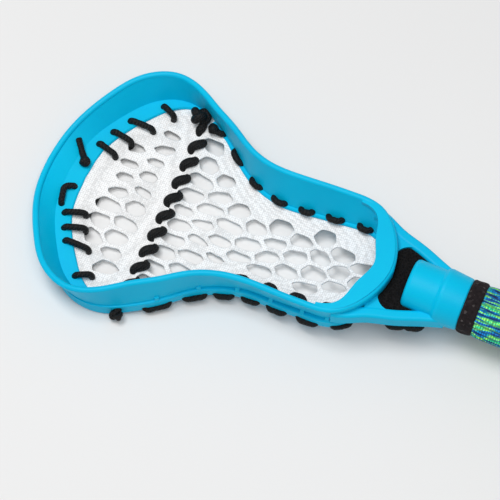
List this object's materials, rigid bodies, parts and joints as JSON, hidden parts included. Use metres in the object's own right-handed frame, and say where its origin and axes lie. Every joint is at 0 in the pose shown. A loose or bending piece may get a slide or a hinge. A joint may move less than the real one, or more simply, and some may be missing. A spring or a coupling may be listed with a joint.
{
  "type": "lacrosse stick",
  "caption": "Short lacrosse stick: moulded head with a flared scoop, laced net pocket, struts and socket, tubular shaft with a ribbed knit grip sleeve, bound ends and a butt cap.",
  "frame": {"origin": "centre of the butt cap's flat end face", "axes": "+X along the shaft's axis towards the scoop, +Z out of the open face of the pocket, mirrored in Y"},
  "size_m": [0.7608, 0.1544, 0.051],
  "materials": {
    "head_plastic": "semi-gloss moulded nylon",
    "foam": "textured closed-cell foam",
    "net": "knitted nylon mesh",
    "lace": "round braided nylon cord",
    "shaft_alloy": "anodised",
    "screw_steel": "plain",
    "liner": "soft foam",
    "sleeve": "ribbed knit in several colours",
    "binding": "woven edge binding",
    "cap_rubber": "matte"
  },
  "bodies": {
    "root": {"head_frame": "head_plastic", "throat_foam": "foam", "net_pocket": "net", "shaft_tube": "shaft_alloy", "head_screw": "screw_steel", "grip_liner": "liner", "grip_sleeve": "sleeve", "upper_binding": "binding", "lower_binding": "binding", "butt_cap": "cap_rubber", "top_string": "lace", "scoop_tie": "lace", "left_side_string": "lace", "right_side_string": "lace", "bottom_string": "lace", "shooting_string": "lace"}
  },
  "joints": []
}
